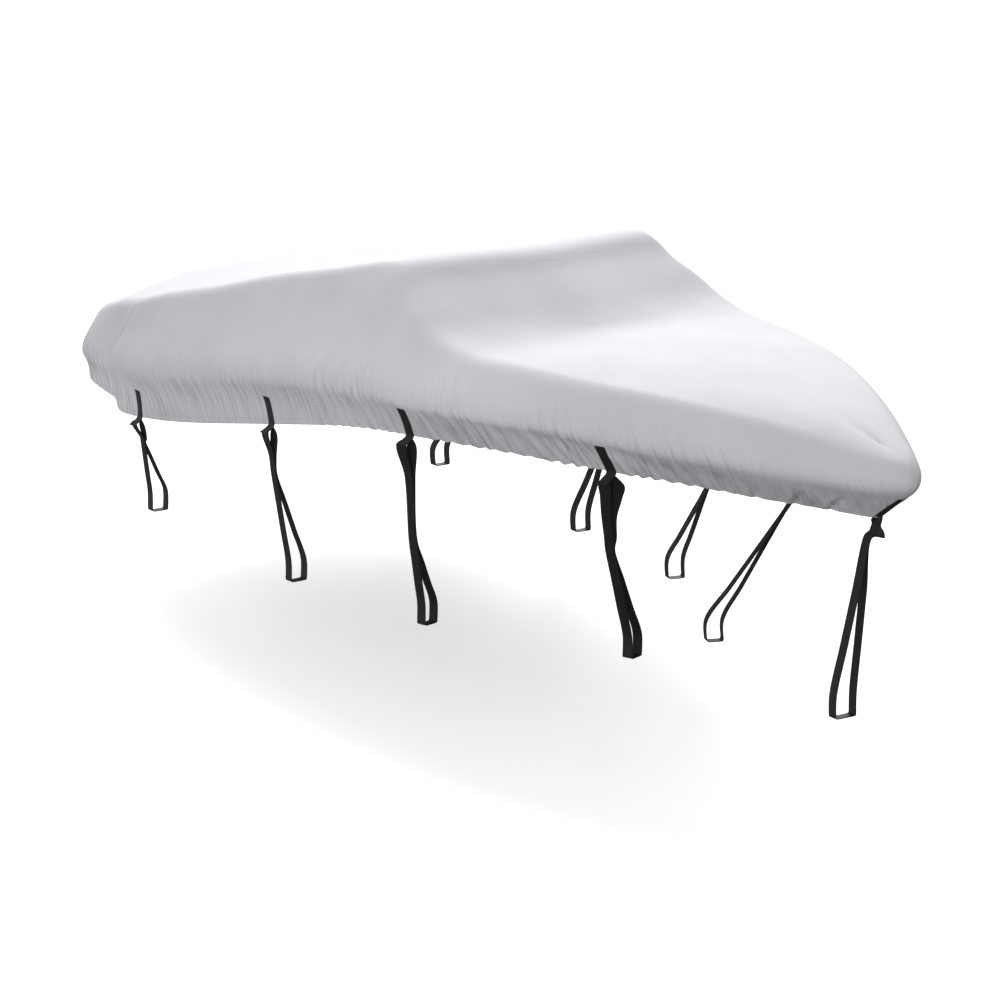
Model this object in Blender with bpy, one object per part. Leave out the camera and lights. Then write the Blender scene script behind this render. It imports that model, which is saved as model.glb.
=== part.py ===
"""Fitted cover for an open runabout, hanging as it does on the hull, with its nine tie-down straps.

Metres, +X to the bow, +Y to port, +Z up. The origin is under the highest part of the top, on the
centreline, where the cloth is held up. The cloth is one sewn sheet. Each strap is a tab sewn to
the cloth, whose lower end folds over the top of a long loop of the same webbing.
"""
import math

import bmesh
import bpy
from mathutils import Matrix, Vector
from mathutils.bvhtree import BVHTree

# ---- driving dimensions ----
CLOTH_THICKNESS = 0.002
WEB_THICKNESS = 0.002
WEB_WIDTH = 0.055
GAP = 0.0003               # between pieces that touch
TAB_GAP = 0.0006           # tab to the faceted cloth under it
TAB_LENGTH = 0.137         # height of a tab's top end above the hem
BAR_HEIGHT = 0.102         # the bar that each loop is made to pass under
BAR_SLACK = 0.001          # webbing to the place of the bar
WEB_BEND = 0.010           # where webbing turns a corner, from there to the start of the bend
RUN_SPACING = 0.0045       # between the two runs of a loop where they hang together

# ---- cloth ----
COLUMN_SPACING = 0.16      # between two lines of faces, measured along the bulge
BULGE_SOFTNESS = 0.11      # length of the rounding at each line of the profile
TUCK_SOFTNESS = 0.045
TOP_SOFTNESS = 0.10
CROWN_SOFTNESS = 0.60
CROWN_AT = 0.50            # how far from the top edge to the spine the crown has its shoulder
CROWN_FULLNESS = 0.80      # share of the crown's height reached at that shoulder
TUCK_AT = 0.50             # height of the tuck between hem and bulge, as a share

# A row for each section, from the middle of the stern round the starboard side to the nose. Each
# section has its hem, the bulge where the side is fullest, the edge of the top, and its place on
# the spine. y is the half breadth. tuck is how far the side is drawn in between hem and bulge, and
# it is below nought where the side swells out there instead.
SECTION_COLUMNS = ("name", "hem_x", "hem_y", "hem_z", "bulge_x", "bulge_y", "bulge_z",
                   "top_x", "top_y", "top_z", "spine_x", "spine_z", "tuck")
SECTIONS = (
    ("stern",     -3.000,  0.000, -1.055, -3.055,  0.000, -0.900, -2.930,  0.000, -0.668,  -2.15, -0.402,  0.011),
    ("stern_in",  -2.970,  0.450, -1.055, -3.030,  0.480, -0.900, -2.900,  0.460, -0.672,  -2.12, -0.397,  0.011),
    ("stern_out", -2.850,  0.850, -1.060, -2.930,  0.860, -0.905, -2.800,  0.800, -0.690,  -2.07, -0.388,  0.011),
    ("turn",      -2.700,  0.968, -1.064, -2.800,  0.962, -0.910, -2.665,  0.895, -0.665,  -2.02, -0.378,  0.011),
    ("corner",    -2.480,  1.000, -1.082, -2.580,  0.995, -0.915, -2.450,  0.935, -0.605,  -1.95, -0.361,  0.011),
    ("notch",     -2.300,  1.035, -1.084, -2.425,  0.995, -0.905, -2.250,  0.955, -0.558,  -1.88, -0.346,  0.011),
    ("shoulder",  -2.180,  1.080, -1.120, -2.325,  1.050, -0.870, -2.045,  0.998, -0.510,  -1.80, -0.328,  0.011),
    ("quarter",   -1.820,  1.090, -1.090, -1.950,  1.120, -0.830, -1.750,  0.990, -0.430,  -1.60, -0.288,  0.011),
    ("aft",       -1.380,  1.100, -1.020, -1.480,  1.137, -0.755, -1.360,  0.965, -0.335,  -1.28, -0.228,  0.011),
    ("seats",     -0.850,  1.098, -0.920, -0.930,  1.144, -0.655, -0.880,  0.915, -0.200,  -0.84, -0.148,  0.011),
    ("helm",      -0.407,  1.093, -0.835, -0.440,  1.145, -0.580, -0.420,  0.840, -0.100,  -0.38, -0.050,  0.009),
    ("brow",      -0.059,  1.089, -0.770, -0.050,  1.135, -0.535, -0.030,  0.750, -0.012,   0.12,  0.018,  0.006),
    ("face_top",   0.132,  1.080, -0.740,  0.140,  1.120, -0.522,  0.140,  0.780, -0.095,   0.30, -0.064,  0.003),
    ("face_mid",   0.282,  1.057, -0.724,  0.320,  1.100, -0.515,  0.300,  0.825, -0.178,   0.47, -0.140,  0.001),
    ("face_foot",  0.492,  1.021, -0.712,  0.550,  1.075, -0.512,  0.500,  0.850, -0.266,   0.68, -0.232,  0.000),
    ("deck_aft",   0.752,  0.961, -0.702,  0.820,  1.030, -0.508,  0.770,  0.832, -0.307,   0.83, -0.270, -0.002),
    ("deck",       1.052,  0.876, -0.695,  1.140,  0.950, -0.503,  1.100,  0.780, -0.306,   1.16, -0.256, -0.004),
    ("deck_mid",   1.392,  0.761, -0.694,  1.500,  0.835, -0.497,  1.460,  0.710, -0.314,   1.48, -0.247, -0.006),
    ("deck_fore",  1.737,  0.623, -0.700,  1.840,  0.695, -0.510,  1.785,  0.610, -0.322,   1.76, -0.252, -0.007),
    ("bow",        2.049,  0.446, -0.717,  2.220,  0.530, -0.530,  2.145,  0.468, -0.346,   2.06, -0.278, -0.007),
    ("cheek",      2.346,  0.274, -0.737,  2.580,  0.350, -0.550,  2.475,  0.318, -0.382,   2.34, -0.315, -0.005),
    ("bow_tuck",   2.565,  0.136, -0.749,  2.830,  0.212, -0.568,  2.745,  0.182, -0.432,   2.56, -0.360, -0.002),
    ("nose_side",  2.765,  0.048, -0.756,  2.990,  0.092, -0.582,  2.940,  0.088, -0.474,   2.72, -0.405,  0.000),
    ("nose",       2.820,  0.000, -0.757,  3.050,  0.000, -0.588,  3.005,  0.000, -0.492,   2.80, -0.428,  0.000),
)

# ---- main folds ----
# A row for each soft trough in the cloth. view says which way it is seen: "side" folds run between
# points (x, z) on that side, "top" folds between points (x, y). Troughs are drawn in by depth.
FOLD_COLUMNS = ("view", "side", "start_a", "start_b", "end_a", "end_b", "width", "depth")
FOLDS = (
    ("side", -1, -0.16, -0.50,  0.13, -0.76, 0.075, 0.012),
    ("side", -1,  0.16, -0.52,  0.40, -0.74, 0.070, 0.010),
    ("side", -1,  0.55, -0.52,  0.84, -0.72, 0.075, 0.011),
    ("side", -1,  1.14, -0.51,  1.42, -0.72, 0.070, 0.010),
    ("side", -1,  1.94, -0.52,  2.08, -0.72, 0.060, 0.008),
    ("side", -1, -0.30, -0.14, -0.24, -0.50, 0.090, 0.009),
    ("side", -1, -0.72, -0.40, -0.66, -0.90, 0.080, 0.010),
    ("side", -1, -1.14, -0.48, -1.10, -0.98, 0.080, 0.010),
    ("side", -1, -1.60, -0.56, -1.52, -1.05, 0.080, 0.009),
    ("side",  1, -0.05, -0.46,  0.22, -0.74, 0.080, 0.012),
    ("side",  1,  0.42, -0.50,  0.70, -0.72, 0.075, 0.010),
    ("side",  1,  1.32, -0.50,  1.52, -0.70, 0.070, 0.010),
    ("side",  1, -0.88, -0.36, -0.84, -0.92, 0.085, 0.011),
    ("side",  1, -1.42, -0.50, -1.36, -1.02, 0.080, 0.009),
    ("top",  -1,  1.30,  0.36,  2.20,  0.16, 0.110, 0.006),
    ("top",   1,  0.95,  0.20,  1.75,  0.42, 0.110, 0.006),
    ("top",   1, -1.60,  0.50, -0.60,  0.30, 0.130, 0.006),
)
FOLD_FADE = 1.5            # how far a fold fades beyond its ends, in widths
MIDDLE = 0.02              # half breadth along the centreline that no fold crosses

# ---- straps ----
# A row for each strap. hem_x is where its tab crosses the hem and lean how far the tab's top end
# lies ahead of that. The bar it loops under has its underside's middle at bar_x, bar_y, bar_z and
# is turned in towards the bow by bar_turn degrees. meet and part are the shares of the drop at
# which the two runs come together and part again, and shift is how far ahead of the strap's line
# they lie in between. The side straps are mirrored to port, the bow strap stands alone.
STRAP_COLUMNS = ("name", "hem_x", "lean", "bar_x", "bar_y", "bar_z", "bar_turn", "bar_width",
                 "meet", "part", "shift")
STRAPS = (
    ("stern",   -1.940, -0.022, -2.130, 0.890, -1.672,  0.0, 0.088, 0.29, 0.32, -0.008),
    ("quarter", -0.582, -0.020, -0.742, 0.872, -1.737,  3.0, 0.088, 0.24, 0.36, -0.044),
    ("helm",     0.549, -0.005,  0.278, 0.743, -1.737, 15.0, 0.082, 0.25, 0.62, -0.031),
    ("deck",     1.684, -0.010,  1.287, 0.240, -1.737, 20.0, 0.078, 0.40, 0.47, -0.052),
)
BOW_STRAP = ("bow", 2.800, 0.165, 2.585, 0.000, -1.735, 0.0, 0.110, 0.12, 0.12, -0.030)
BOW_UNDERSIDE = Vector((0.628, 0.0, -0.778))   # way the cloth faces under the bow
MEET_OFFSET = 0.014        # rear run ahead of the front one where they come together

# The runs of a loop below the hem: drop, the aft and fore edges of the outboard (front) and
# inboard (rear) run along the hem, and how far each run stands out from the strap's line. The runs
# slant out to shoulders under the tab, so a level cut through them is wider than the webbing.
LOOP_COLUMNS = ("drop", "front_aft", "front_fore", "front_out", "rear_aft", "rear_fore", "rear_out")
LOOP_ROWS = (
    (0.050, -0.075, -0.012, 0.0200, -0.030, 0.032, -0.0026),
)
DECK_LOOP_ROWS = (
    (0.065, -0.072, -0.006, 0.0060, -0.014, 0.060, -0.0026),
    (0.140, -0.076, -0.012, 0.0050, -0.024, 0.042, -0.0026),
    (0.250, -0.080, -0.022, 0.0035, -0.050, 0.004, -0.0022),
)
BOW_LOOP_ROWS = (
    (0.083, -0.044,  0.012, -0.0026,  0.014, 0.074, -0.0085),
)
STEPS_TO_BAR = 3           # stretches of a run between where it parts and the bar

# The folded lower end of a tab: how far below the hem, its aft and fore edge along the hem, how far
# it stands out, and how far its width is turned from the hem's direction.
FLAP_COLUMNS = ("drop", "aft", "fore", "out", "turn")
FLAP_ROWS = (
    (0.007, -0.028,  0.026, 0.0050, 0.0),
    (0.026, -0.046,  0.010, 0.0115, 0.0),
    (0.054, -0.080, -0.025, 0.0262, 0.0),
)
DECK_FLAP_ROWS = (
    (0.007, -0.028,  0.026, 0.0050, 0.0),
    (0.030, -0.046,  0.008, 0.0056, 0.0),
    (0.066, -0.078, -0.024, 0.0120, 0.0),
)
BOW_FLAP_ROWS = (
    (0.014, -0.026,  0.026, 0.0026, 45.0),
    (0.036, -0.032,  0.034, 0.0050, 0.0),
    (0.056, -0.040,  0.056, 0.0052, 0.0),
    (0.082, -0.046,  0.072, 0.0100, 0.0),
)
APEX_DROP = 0.016          # middle of a loop's gathered top end, below the hem
BOW_APEX_DROP = 0.046
APEX_HALF = 0.008          # half the gathered width
APEX_SLANT = 0.4           # how far that width leans from upright
APEX_FORE = 0.006          # how far ahead of the tab's middle it sits
APEX_OUT = FLAP_ROWS[0][3] - WEB_THICKNESS - GAP
TAB_STEPS = 8              # faces along the sewn part of a tab
TAB_FACES = 2              # faces across it
CLEARANCE_STEPS = 4        # places at which each face's distance to the cloth is taken, each way
SEWN_FROM = 0.004          # lowest row on the cloth, above the hem
RAY_START = 0.3            # rays to the cloth start this far outside

COLOURS = {                # base colour as linear RGB, roughness
    "silver_cloth": ((0.60, 0.61, 0.63), 0.62),
    "black_webbing": ((0.016, 0.016, 0.017), 0.70),
}


def clear_scene():
    for item in list(bpy.data.objects):
        bpy.data.objects.remove(item, do_unlink=True)


def make_material(name):
    colour, roughness = COLOURS[name]
    material = bpy.data.materials.get(name) or bpy.data.materials.new(name)
    material.use_nodes = True
    shader = material.node_tree.nodes["Principled BSDF"]
    shader.inputs["Base Color"].default_value = (*colour, 1.0)
    shader.inputs["Roughness"].default_value = roughness
    shader.inputs["Metallic"].default_value = 0.0
    return material


def make_solid(name, bm, material, thickness, offset):
    """Object from an open surface, thickened to a closed solid."""
    mesh = bpy.data.meshes.new(name)
    bm.to_mesh(mesh)
    bm.free()
    mesh.shade_smooth()
    mesh.materials.append(make_material(material))
    item = bpy.data.objects.new(name, mesh)
    bpy.context.scene.collection.objects.link(item)
    solid = item.modifiers.new("Thickness", "SOLIDIFY")
    solid.thickness = thickness
    solid.offset = offset
    return item


def table(columns, rows):
    return [dict(zip(columns, row)) for row in rows]


def section_points(sections, index):
    """Hem, bulge, top edge and spine of section index, counted round the whole cover, and its tuck."""
    last = len(sections) - 1
    index %= 2 * last
    side = -1.0 if index <= last else 1.0
    row = sections[index if index <= last else 2 * last - index]
    lines = []
    for line in ("hem", "bulge", "top"):
        lines.append(Vector((row[line + "_x"], side * row[line + "_y"], row[line + "_z"])))
    lines.append(Vector((row["spine_x"], 0.0, row["spine_z"])))
    return lines, row["tuck"]


def curve_through(p0, p1, p2, p3, t):
    """Catmull-Rom curve from p1 to p2."""
    return 0.5 * (2 * p1 + (p2 - p0) * t + (2 * p0 - 5 * p1 + 4 * p2 - p3) * t * t
                  + (3 * p1 - p0 - 3 * p2 + p3) * t ** 3)


def rounded_corner(before, corner, after, softness, count, on_curve):
    """count points round a corner; with on_curve the rounding passes through the corner point."""
    back, ahead = before - corner, after - corner
    reach = min(softness, 0.48 * back.length, 0.48 * ahead.length)
    back, ahead = back.normalized() * reach, ahead.normalized() * reach
    if on_curve:
        corner = corner - 0.25 * (back + ahead)
    start, end = corner + back, corner + ahead
    points = []
    for step in range(count):
        t = step / (count - 1)
        points.append((1 - t) ** 2 * start + 2 * t * (1 - t) * corner + t * t * end)
    return points


def profile(hem, bulge, top, spine, tuck):
    """One line over the cloth from its hem to the spine."""
    inward = Vector((spine.x - bulge.x, spine.y - bulge.y, 0.0)).normalized()
    tucked = hem.lerp(bulge, TUCK_AT) + inward * tuck
    crown = top.lerp(spine, CROWN_AT)
    crown.z = top.z + (spine.z - top.z) * CROWN_FULLNESS
    points = [hem]
    points += rounded_corner(hem, tucked, bulge, TUCK_SOFTNESS, 3, True)
    points += rounded_corner(tucked, bulge, top, BULGE_SOFTNESS, 4, True)
    points += rounded_corner(bulge, top, crown, TOP_SOFTNESS, 4, True)
    points += rounded_corner(top, crown, spine, CROWN_SOFTNESS, 3, False)
    points.append(spine)
    return points


def cloth_columns(sections):
    """Profiles round the whole cover, with a step to the next column of about COLUMN_SPACING."""
    columns = []
    count = 2 * (len(sections) - 1)
    for index in range(count):
        around = [section_points(sections, index + step) for step in (-1, 0, 1, 2)]
        span = (around[1][0][1] - around[2][0][1]).length
        steps = max(1, round(span / COLUMN_SPACING))
        for step in range(steps):
            t = step / steps
            lines = [curve_through(*[lines[k] for lines, _ in around], t) for k in range(4)]
            lines[3].y = 0.0
            tuck = curve_through(*[tuck for _, tuck in around], t)
            columns.append(profile(*lines, tuck))
    return columns


def fold_shift(point, normal, folds):
    """How far the folds draw a point of the cloth in."""
    shift = 0.0
    for fold in folds:
        if point.y * fold["side"] < MIDDLE:
            continue
        if fold["view"] == "side":
            place, facing = (point.x, point.z), abs(normal.y)
        else:
            place, facing = (point.x, abs(point.y)), max(0.0, normal.z)
        along_a, along_b = fold["end_a"] - fold["start_a"], fold["end_b"] - fold["start_b"]
        length = math.hypot(along_a, along_b)
        from_a, from_b = place[0] - fold["start_a"], place[1] - fold["start_b"]
        along = (from_a * along_a + from_b * along_b) / length
        across = (from_a * along_b - from_b * along_a) / length
        beyond = max(0.0, -along, along - length)
        width = fold["width"]
        fade = math.exp(-(across / width) ** 2 - (beyond / (FOLD_FADE * width)) ** 2)
        shift += fold["depth"] * facing * fade
    return shift


def make_cloth(columns):
    folds = table(FOLD_COLUMNS, FOLDS)
    count = len(columns)
    bm = bmesh.new()
    grid = []
    for index, column in enumerate(columns):
        verts = [bm.verts.new(point) for point in column[:-1]]
        mirror = (count - index) % count
        verts.append(bm.verts.new(column[-1]) if mirror >= index else grid[mirror][-1])
        grid.append(verts)
    for index in range(count):
        here, there = grid[index], grid[(index + 1) % count]
        for row in range(len(here) - 1):
            bm.faces.new((here[row], there[row], there[row + 1], here[row + 1]))
    bm.normal_update()
    shifts = [vert.normal * fold_shift(vert.co, vert.normal, folds) for vert in bm.verts]
    for vert, shift in zip(bm.verts, shifts):
        vert.co -= shift
    return make_solid("cover_cloth", bm, "silver_cloth", CLOTH_THICKNESS, -1.0)


def hem_at(columns, side, x):
    """Point on one side's hem at x, and the level direction of the hem there, towards the bow."""
    points = sorted((column[0] for column in columns if column[0].y * side >= 0), key=lambda point: point.x)
    for before, after in zip(points, points[1:]):
        if before.x <= x <= after.x:
            heading = Vector((after.x - before.x, after.y - before.y, 0.0)).normalized()
            return before.lerp(after, (x - before.x) / (after.x - before.x)), heading
    raise ValueError("the hem does not reach x = %.3f" % x)


def strap_place(row, side, top, heading):
    """Where one strap hangs: top on the hem, bar underside, and the ways along and outboard at each."""
    turn = math.radians(row["bar_turn"])
    along_bar = Vector((math.cos(turn), -side * math.sin(turn), 0.0))
    return {
        "top": top,
        "along": heading,
        "out": side * Vector((-heading.y, heading.x, 0.0)),
        "bar": Vector((row["bar_x"], side * row["bar_y"], row["bar_z"])),
        "along_bar": along_bar,
        "out_bar": side * Vector((-along_bar.y, along_bar.x, 0.0)),
        "half_bar": row["bar_width"] / 2,
        "meet": row["meet"],
        "part": row["part"],
        "shift": row["shift"],
        "lean": row["lean"],
    }


def make_strip(name, rows):
    """Webbing from rows of points across it, thickened by half to each side."""
    bm = bmesh.new()
    verts = [[bm.verts.new(point) for point in row] for row in rows]
    for here, there in zip(verts, verts[1:]):
        for k in range(len(here) - 1):
            bm.faces.new((here[k], here[k + 1], there[k + 1], there[k]))
    return make_solid(name, bm, "black_webbing", WEB_THICKNESS, 0.0)


def outermost(tree, point, steps, facing):
    """How far the cloth stands out along facing, at most, within steps round the point."""
    reached = []
    for step in steps:
        start = point + step + facing * RAY_START
        hit = tree.ray_cast(start, -facing)[0]
        if hit is not None:
            reached.append((hit - point).dot(facing))
    return max(reached)


def clearance(tree, rows):
    """Smallest distance from the faces between rows to the cloth."""
    smallest = math.inf
    shares = [step / CLEARANCE_STEPS for step in range(CLEARANCE_STEPS + 1)]
    for here, there in zip(rows, rows[1:]):
        for k in range(TAB_FACES):
            for s in shares:
                for t in shares:
                    point = here[k].lerp(here[k + 1], s).lerp(there[k].lerp(there[k + 1], s), t)
                    smallest = min(smallest, tree.find_nearest(point)[3])
    return smallest


def tab_rows(place, tree, across, facing, flap_rows):
    """Rows of a tab: down the cloth from its top end, over the hem and along its folded lower end."""
    rows = []
    rise = Vector((0.0, 0.0, TAB_LENGTH)) + place["along"] * place["lean"]
    half_across = across * (WEB_WIDTH / TAB_FACES / 2)
    half_up = rise * (0.5 / TAB_STEPS)
    near = [half_across * a + half_up * b for a in (-1, 0, 1) for b in (-1, 0, 1)]
    for step in range(TAB_STEPS, -1, -1):
        centre = place["top"] + rise * max(step / TAB_STEPS, SEWN_FROM / TAB_LENGTH)
        row = []
        for k in range(TAB_FACES + 1):
            point = centre + half_across * (2 * k - TAB_FACES)
            reach = outermost(tree, point, near, facing)
            row.append(point + facing * (reach + TAB_GAP + WEB_THICKNESS / 2))
        rows.append(row)
    slack = facing * (clearance(tree, rows) - TAB_GAP - WEB_THICKNESS / 2)
    rows = [[point - slack for point in row] for row in rows]
    for flap in table(FLAP_COLUMNS, flap_rows):
        width = Matrix.Rotation(math.radians(flap["turn"]), 3, "Z") @ place["along"]
        centre = place["top"] + place["out"] * flap["out"] - Vector((0.0, 0.0, flap["drop"]))
        row = []
        for k in range(TAB_FACES + 1):
            edge = flap["aft"] + (flap["fore"] - flap["aft"]) * k / TAB_FACES
            row.append(centre + width * edge)
        rows.append(row)
    return rows


def bar_corner(place, end, level):
    """Middle of the webbing at a corner of the bar: end 1 outboard, -1 inboard; level 0 below, 1 above."""
    clear = BAR_SLACK + WEB_THICKNESS / 2
    point = place["bar"] + place["out_bar"] * end * (place["half_bar"] + clear)
    point.z += BAR_HEIGHT * level - (0.0 if level else clear)
    return point


def run_rows(place, end, loop_rows, apex_drop):
    """Rows of the outboard (end 1) or inboard (end -1) run, from its top end to just above the bar."""
    key = "front" if end > 0 else "rear"
    foot = bar_corner(place, 1, 1)
    spread = end * (WEB_THICKNESS / 2 + GAP)
    apex = place["top"] + place["along"] * APEX_FORE - Vector((0.0, 0.0, apex_drop))
    apex += place["out"] * (APEX_OUT - WEB_THICKNESS / 2 - GAP + spread)
    gathered = place["along"] * APEX_HALF * APEX_SLANT - Vector((0.0, 0.0, end * APEX_HALF))
    rows = [[apex - gathered, apex + gathered]]
    for row in table(LOOP_COLUMNS, loop_rows):
        share = row["drop"] / (place["top"].z - foot.z)
        along = place["along"].lerp(place["along_bar"], share).normalized()
        centre = place["top"].lerp(foot, share) + place["out"] * row[key + "_out"]
        rows.append([centre + along * row[key + "_aft"], centre + along * row[key + "_fore"]])
    meet, part = place["meet"], place["part"]
    behind = place["out"] * (0.0 if end > 0 else -RUN_SPACING)
    if meet < part:
        along = place["along"].lerp(place["along_bar"], meet).normalized()
        shift = place["shift"] + (0.0 if end > 0 else MEET_OFFSET)
        centre = place["top"].lerp(foot, meet) + along * shift + behind
        rows.append([centre - along * WEB_WIDTH / 2, centre + along * WEB_WIDTH / 2])
    start = place["top"].lerp(foot, part) + place["along"] * place["shift"] + behind
    for step in range(STEPS_TO_BAR):
        t = step / STEPS_TO_BAR
        along = place["along"].lerp(place["along_bar"], part + (1.0 - part) * t).normalized()
        centre = start.lerp(bar_corner(place, end, 1), t)
        rows.append([centre - along * WEB_WIDTH / 2, centre + along * WEB_WIDTH / 2])
    return rows


def loop_under_bar(place):
    """Rows of the loop where it passes round the bar, from its outboard top corner to its inboard one."""
    half = place["along_bar"] * WEB_WIDTH / 2
    corners = [bar_corner(place, *corner) for corner in ((1, 1), (1, 0), (-1, 0), (-1, 1))]
    centres = [corners[0]]
    centres += rounded_corner(corners[0], corners[1], corners[2], WEB_BEND, 4, False)
    centres += rounded_corner(corners[1], corners[2], corners[3], WEB_BEND, 4, False)
    centres.append(corners[3])
    return [[centre - half, centre + half] for centre in centres]


def make_loop(name, place, loop_rows, apex_drop):
    front = run_rows(place, 1, loop_rows, apex_drop)
    rear = run_rows(place, -1, loop_rows, apex_drop)
    return make_strip(name, front + loop_under_bar(place) + rear[::-1])


def make_straps(cloth, columns):
    """The four straps of each side, and the one under the bow."""
    tree = BVHTree.FromObject(cloth, bpy.context.evaluated_depsgraph_get())
    for row in table(STRAP_COLUMNS, STRAPS):
        for side, side_name in ((-1, "starboard"), (1, "port")):
            name = row["name"] + "_" + side_name
            place = strap_place(row, side, *hem_at(columns, side, row["hem_x"]))
            shouldered = row["name"] == "deck"
            flap_rows = DECK_FLAP_ROWS if shouldered else FLAP_ROWS
            loop_rows = DECK_LOOP_ROWS if shouldered else LOOP_ROWS
            make_strip(name + "_tab", tab_rows(place, tree, place["along"], place["out"], flap_rows))
            make_loop(name + "_loop", place, loop_rows, APEX_DROP)
    row = table(STRAP_COLUMNS, [BOW_STRAP])[0]
    nose_hem = table(SECTION_COLUMNS, SECTIONS)[-1]["hem_z"]
    place = strap_place(row, -1, Vector((row["hem_x"], 0.0, nose_hem)), Vector((1.0, 0.0, 0.0)))
    across = Vector((0.0, 1.0, 0.0))
    make_strip("bow_tab", tab_rows(place, tree, across, BOW_UNDERSIDE, BOW_FLAP_ROWS))
    make_loop("bow_loop", place, BOW_LOOP_ROWS, BOW_APEX_DROP)


def main():
    clear_scene()
    columns = cloth_columns(table(SECTION_COLUMNS, SECTIONS))
    cloth = make_cloth(columns)
    make_straps(cloth, columns)


main()
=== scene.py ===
import math

import bpy
import numpy as np
from mathutils import Matrix, Vector, noise
from mathutils.bvhtree import BVHTree


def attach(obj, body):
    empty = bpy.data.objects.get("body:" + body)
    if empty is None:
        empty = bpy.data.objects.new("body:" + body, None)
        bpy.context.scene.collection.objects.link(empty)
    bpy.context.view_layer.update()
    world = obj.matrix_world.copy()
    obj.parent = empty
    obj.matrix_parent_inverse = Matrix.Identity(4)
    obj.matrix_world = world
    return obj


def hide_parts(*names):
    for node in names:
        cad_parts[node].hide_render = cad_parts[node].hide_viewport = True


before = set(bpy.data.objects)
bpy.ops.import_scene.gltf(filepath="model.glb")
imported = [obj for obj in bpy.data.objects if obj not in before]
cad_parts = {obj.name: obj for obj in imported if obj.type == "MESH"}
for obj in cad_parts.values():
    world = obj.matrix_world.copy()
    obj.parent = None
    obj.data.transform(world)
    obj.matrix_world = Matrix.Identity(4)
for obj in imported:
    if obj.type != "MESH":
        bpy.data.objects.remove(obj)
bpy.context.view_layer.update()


# Nodes and colours

def toLinear(hexColour):
    parts = [int(hexColour[k:k + 2], 16) / 255 for k in (1, 3, 5)]
    return tuple(c / 12.92 if c <= 0.04045 else ((c + 0.055) / 1.055) ** 2.4 for c in parts) + (1.0,)


def setInputs(tree, node, inputs):
    # Links or sets each input; a node as a value stands for its first output
    for name, value in inputs.items():
        if isinstance(value, bpy.types.Node):
            value = value.outputs[0]
        if isinstance(value, bpy.types.NodeSocket):
            tree.links.new(value, node.inputs[name])
        else:
            node.inputs[name].default_value = value


def addNode(tree, kind, inputs=None, stops=None, **settings):
    node = tree.nodes.new("ShaderNode" + kind)
    for name, value in settings.items():
        setattr(node, name, value)
    setInputs(tree, node, inputs or {})
    if stops:  # the places and colours of a colour ramp's two ends
        for element, (position, colour) in zip(node.color_ramp.elements, stops):
            element.position = position
            element.color = colour
    return node


def newMaterial(name):
    material = bpy.data.materials.new(name)
    material.use_nodes = True
    tree = material.node_tree
    return material, tree, tree.nodes["Principled BSDF"]


def finishShader(tree, shader, colour, bump, look):
    setInputs(tree, shader, {
        "Base Color": colour, "Normal": bump, "Roughness": look["roughness"], "IOR": look["ior"],
        "Specular IOR Level": look["specular"]})


def addItem(name, data):
    item = bpy.data.objects.new(name, data)
    bpy.context.scene.collection.objects.link(item)
    return item


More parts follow.
